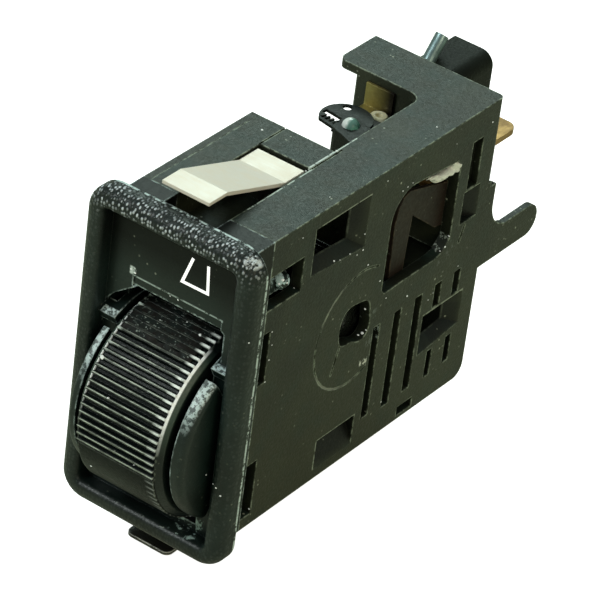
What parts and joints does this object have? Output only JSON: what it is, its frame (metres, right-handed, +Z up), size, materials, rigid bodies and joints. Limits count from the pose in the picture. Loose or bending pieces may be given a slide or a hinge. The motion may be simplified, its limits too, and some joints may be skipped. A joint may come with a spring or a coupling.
{
  "type": "dimmer rheostat",
  "caption": "Snap-in dimmer rheostat: a ribbed thumbwheel in a rectangular bezel turns a toothed rotor whose wiper rides a wound resistor in an open-topped body.",
  "frame": {"origin": "middle of the bezel's back face, the face that seats on the panel", "axes": "+X to the right as seen from the front, +Y to the rear through the panel, +Z up"},
  "size_m": [0.0256, 0.0759, 0.0532],
  "materials": {
    "moulded_black": "fine grain",
    "gloss_black": "polished",
    "spring_steel": "satin plated",
    "steel": "drawn",
    "brass": "dull",
    "ceramic": "unglazed",
    "resistance_wire": "wound",
    "clear": "clear",
    "solder": "lumpy",
    "brown_laminate": "cut sheet"
  },
  "bodies": {
    "body": {"bezel": "moulded_black", "housing": "moulded_black", "side_cover": "moulded_black", "wheel_axle": "steel", "rotor_shaft": "steel", "resistor_former": "ceramic", "resistance_winding": "resistance_wire", "terminal_plate": "brown_laminate", "upper_clip": "spring_steel", "lower_clip": "spring_steel", "bulb_holder": "gloss_black", "bulb": "clear", "holder_bracket": "gloss_black", "contact_strip": "brass", "contact_eyelet": "brass", "feed_blade": "brass", "return_blade": "brass", "earth_blade": "brass", "connector_shroud": "moulded_black", "rear_pin": "steel", "solder_joint": "solder"},
    "wheel": {"thumbwheel": "moulded_black"},
    "rotor": {"rotor": "gloss_black", "wiper": "brass"}
  },
  "joints": [
    {"name": "wheel_turn", "type": "hinge", "parent": "body", "child": "wheel", "pos_m": [0, 0.00403, -0.00605], "axis": [1, 0, 0], "range_deg": [-15, 105]},
    {"name": "rotor_turn", "type": "hinge", "parent": "body", "child": "rotor", "pos_m": [0, 0.02522, -0.00068], "axis": [1, 0, 0], "range_deg": [-159, 23]}
  ],
  "couplings": [
    {"joint": "rotor_turn", "follows": "wheel_turn", "ratio": -1.5094}
  ]
}
